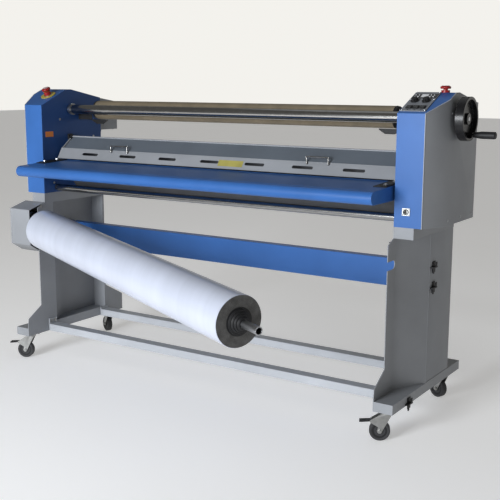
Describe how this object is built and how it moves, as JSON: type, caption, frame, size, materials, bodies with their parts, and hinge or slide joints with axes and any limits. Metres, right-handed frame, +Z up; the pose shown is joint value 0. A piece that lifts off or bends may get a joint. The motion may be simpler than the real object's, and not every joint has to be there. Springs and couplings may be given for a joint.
{
  "type": "cold roll laminator",
  "caption": "Wide cold roll laminator on a castered stand: blue and grey end cabinets, nip rollers, feed table, folded guard, handwheel and a swing-out shaft with a media roll.",
  "frame": {"origin": "middle of the bounding box, on the floor under the casters", "axes": "+X along the rollers towards the handwheel, +Y from the operator to the rear, +Z up"},
  "size_m": [2.152, 1.2596, 1.244],
  "materials": {
    "blue_paint": "satin",
    "dark_blue_paint": "satin",
    "grey_paint": "satin",
    "light_grey_paint": "satin",
    "black_paint": "satin",
    "black_plastic": "matte",
    "red_plastic": "gloss",
    "yellow_plastic": "matte",
    "bright_chrome": "polished",
    "steel": "brushed",
    "black_rubber": "matte",
    "silicone_rubber": "satin",
    "tan_tube": "matte",
    "vinyl_film": "satin",
    "wheel_tread": "matte"
  },
  "bodies": {
    "root": {"left_leg": "grey_paint", "right_leg": "grey_paint", "stretchers": "light_grey_paint", "cross_beam": "blue_paint", "left_side_plate": "dark_blue_paint", "right_side_plate": "dark_blue_paint", "left_front_cover": "blue_paint", "right_front_cover": "blue_paint", "left_outer_cover": "grey_paint", "right_outer_cover": "grey_paint", "control_box": "grey_paint", "control_panel": "light_grey_paint", "stop_bases": "yellow_plastic", "foot_switch_socket": "steel", "power_inlet": "black_plastic", "cord_hooks": "black_paint", "core_rests": "black_paint", "roller_bearings": "steel", "lift_gearboxes": "steel", "guard_brackets": "black_paint", "swing_housing": "grey_paint", "swing_bracket": "black_paint", "caster_plates": "steel", "drive_motor": "black_paint", "drive_belt": "black_rubber"},
    "lower_roller": {"lower_roller": "silicone_rubber"},
    "motor_pulley": {"motor_pulley": "steel"},
    "nip_carriage": {"nip_carriages": "steel"},
    "upper_roller": {"upper_roller": "silicone_rubber"},
    "lift": {"lift_shaft": "bright_chrome", "handwheel": "black_plastic"},
    "crank_grip": {"crank_grip": "black_plastic"},
    "lower_idler": {"lower_idler": "bright_chrome"},
    "core": {"core_shaft": "black_plastic", "core_tube": "tan_tube"},
    "guard": {"guard": "grey_paint", "guard_handles": "bright_chrome"},
    "table": {"feed_table": "blue_paint", "table_brackets": "black_paint"},
    "swing_arm": {"swing_arm": "black_paint"},
    "supply": {"supply_shaft": "steel", "supply_chucks": "black_plastic", "media_roll": "vinyl_film"},
    "speed_knob": {"speed_knob": "black_plastic"},
    "direction_knob": {"direction_knob": "black_plastic"},
    "button_left": {"button_left": "black_plastic"},
    "button_middle": {"button_middle": "black_plastic"},
    "button_right": {"button_right": "black_plastic"},
    "left_stop": {"left_stop_button": "red_plastic"},
    "right_stop": {"right_stop_button": "red_plastic"},
    "fork_lf": {"left_front_fork": "steel"},
    "fork_rf": {"right_front_fork": "steel"},
    "fork_lr": {"left_rear_fork": "steel"},
    "fork_rr": {"right_rear_fork": "steel"},
    "wheel_lf": {"left_front_wheel": "wheel_tread"},
    "wheel_rf": {"right_front_wheel": "wheel_tread"},
    "wheel_lr": {"left_rear_wheel": "wheel_tread"},
    "wheel_rr": {"right_rear_wheel": "wheel_tread"},
    "pedal_l": {"left_brake_pedal": "black_plastic"},
    "pedal_r": {"right_brake_pedal": "black_plastic"}
  },
  "joints": [
    {"name": "lower_roller_spin", "type": "hinge", "parent": "root", "child": "lower_roller", "pos_m": [-0.066, 0.33481, 0.83], "axis": [1, 0, 0], "continuous": true},
    {"name": "motor_spin", "type": "hinge", "parent": "root", "child": "motor_pulley", "pos_m": [-0.981, 0.41981, 0.93], "axis": [1, 0, 0], "continuous": true},
    {"name": "nip_lift", "type": "slide", "parent": "root", "child": "nip_carriage", "axis": [0, 0, 1], "range_m": [0, 0.02]},
    {"name": "upper_roller_spin", "type": "hinge", "parent": "nip_carriage", "child": "upper_roller", "pos_m": [-0.066, 0.33481, 0.9455], "axis": [1, 0, 0], "continuous": true},
    {"name": "lift_turn", "type": "hinge", "parent": "root", "child": "lift", "pos_m": [-0.066, 0.29781, 1.13], "axis": [1, 0, 0], "range_deg": [0, 1080]},
    {"name": "crank_grip_spin", "type": "hinge", "parent": "lift", "child": "crank_grip", "pos_m": [1.034, 0.32402, 1.07381], "axis": [1, 0, 0], "continuous": true},
    {"name": "idler_spin", "type": "hinge", "parent": "root", "child": "lower_idler", "pos_m": [-0.066, 0.19981, 0.778], "axis": [1, 0, 0], "continuous": true},
    {"name": "core_spin", "type": "hinge", "parent": "root", "child": "core", "pos_m": [-0.066, 0.37482, 1.127], "axis": [1, 0, 0], "continuous": true},
    {"name": "guard_hinge", "type": "hinge", "parent": "root", "child": "guard", "pos_m": [-0.066, 0.28981, 1.006], "axis": [-1, 0, 0], "range_deg": [0, 95]},
    {"name": "table_tilt", "type": "hinge", "parent": "root", "child": "table", "pos_m": [-0.066, 0.17481, 0.875], "axis": [-1, 0, 0], "range_deg": [0, 60]},
    {"name": "supply_swing", "type": "hinge", "parent": "root", "child": "swing_arm", "pos_m": [-0.976, 0.07981, 0.62], "axis": [0, -0.1392, 0.9903], "range_deg": [-8, 22.1]},
    {"name": "supply_spin", "type": "hinge", "parent": "swing_arm", "child": "supply", "pos_m": [-0.14212, -0.25549, 0.57288], "axis": [0.9265, -0.3726, -0.0524], "continuous": true},
    {"name": "speed_knob_turn", "type": "hinge", "parent": "root", "child": "speed_knob", "pos_m": [0.822, 0.20386, 1.18841], "axis": [0, -0.4067, 0.9136], "range_deg": [-150, 150]},
    {"name": "direction_knob_turn", "type": "hinge", "parent": "root", "child": "direction_knob", "pos_m": [0.864, 0.20386, 1.18841], "axis": [0, -0.4067, 0.9136], "range_deg": [-150, 150]},
    {"name": "button_left_press", "type": "slide", "parent": "root", "child": "button_left", "axis": [0, 0.4067, -0.9136], "range_m": [0, 0.0015], "stiffness_N_per_m": 400},
    {"name": "button_middle_press", "type": "slide", "parent": "root", "child": "button_middle", "axis": [0, 0.4067, -0.9136], "range_m": [0, 0.0015], "stiffness_N_per_m": 400},
    {"name": "button_right_press", "type": "slide", "parent": "root", "child": "button_right", "axis": [0, 0.4067, -0.9136], "range_m": [0, 0.0015], "stiffness_N_per_m": 400},
    {"name": "left_stop_press", "type": "slide", "parent": "root", "child": "left_stop", "axis": [0, 0.4067, -0.9136], "range_m": [0, 0.004], "stiffness_N_per_m": 500},
    {"name": "right_stop_press", "type": "slide", "parent": "root", "child": "right_stop", "axis": [0, 0, -1], "range_m": [0, 0.004], "stiffness_N_per_m": 500},
    {"name": "swivel_lf", "type": "hinge", "parent": "root", "child": "fork_lf", "pos_m": [-0.9625, 0.03982, 0.1], "axis": [0, 0, 1], "continuous": true},
    {"name": "roll_lf", "type": "hinge", "parent": "fork_lf", "child": "wheel_lf", "pos_m": [-0.98697, 0.0284, 0.0375], "axis": [0.4226, -0.9063, 0], "continuous": true},
    {"name": "brake_l", "type": "hinge", "parent": "fork_lf", "child": "pedal_l", "pos_m": [-1.01325, 0.01615, 0.072], "axis": [0.4226, -0.9063, 0], "range_deg": [0, 12]},
    {"name": "swivel_rf", "type": "hinge", "parent": "root", "child": "fork_rf", "pos_m": [0.8305, 0.03982, 0.1], "axis": [0, 0, 1], "continuous": true},
    {"name": "roll_rf", "type": "hinge", "parent": "fork_rf", "child": "wheel_rf", "pos_m": [0.80603, 0.0284, 0.0375], "axis": [0.4226, -0.9063, 0], "continuous": true},
    {"name": "brake_r", "type": "hinge", "parent": "fork_rf", "child": "pedal_r", "pos_m": [0.77975, 0.01615, 0.072], "axis": [0.4226, -0.9063, 0], "range_deg": [0, 12]},
    {"name": "swivel_lr", "type": "hinge", "parent": "root", "child": "fork_lr", "pos_m": [-0.9625, 0.56981, 0.1], "axis": [0, 0, 1], "continuous": true},
    {"name": "roll_lr", "type": "hinge", "parent": "fork_lr", "child": "wheel_lr", "pos_m": [-0.98697, 0.58122, 0.0375], "axis": [-0.4226, -0.9063, 0], "continuous": true},
    {"name": "swivel_rr", "type": "hinge", "parent": "root", "child": "fork_rr", "pos_m": [0.8305, 0.56981, 0.1], "axis": [0, 0, 1], "continuous": true},
    {"name": "roll_rr", "type": "hinge", "parent": "fork_rr", "child": "wheel_rr", "pos_m": [0.80513, 0.57905, 0.0375], "axis": [-0.342, -0.9397, 0], "continuous": true}
  ],
  "couplings": [
    {"joint": "motor_spin", "follows": "lower_roller_spin", "ratio": 2},
    {"joint": "upper_roller_spin", "follows": "lower_roller_spin", "ratio": -1.3},
    {"joint": "nip_lift", "follows": "lift_turn", "m_per_rad": 0.001061}
  ]
}
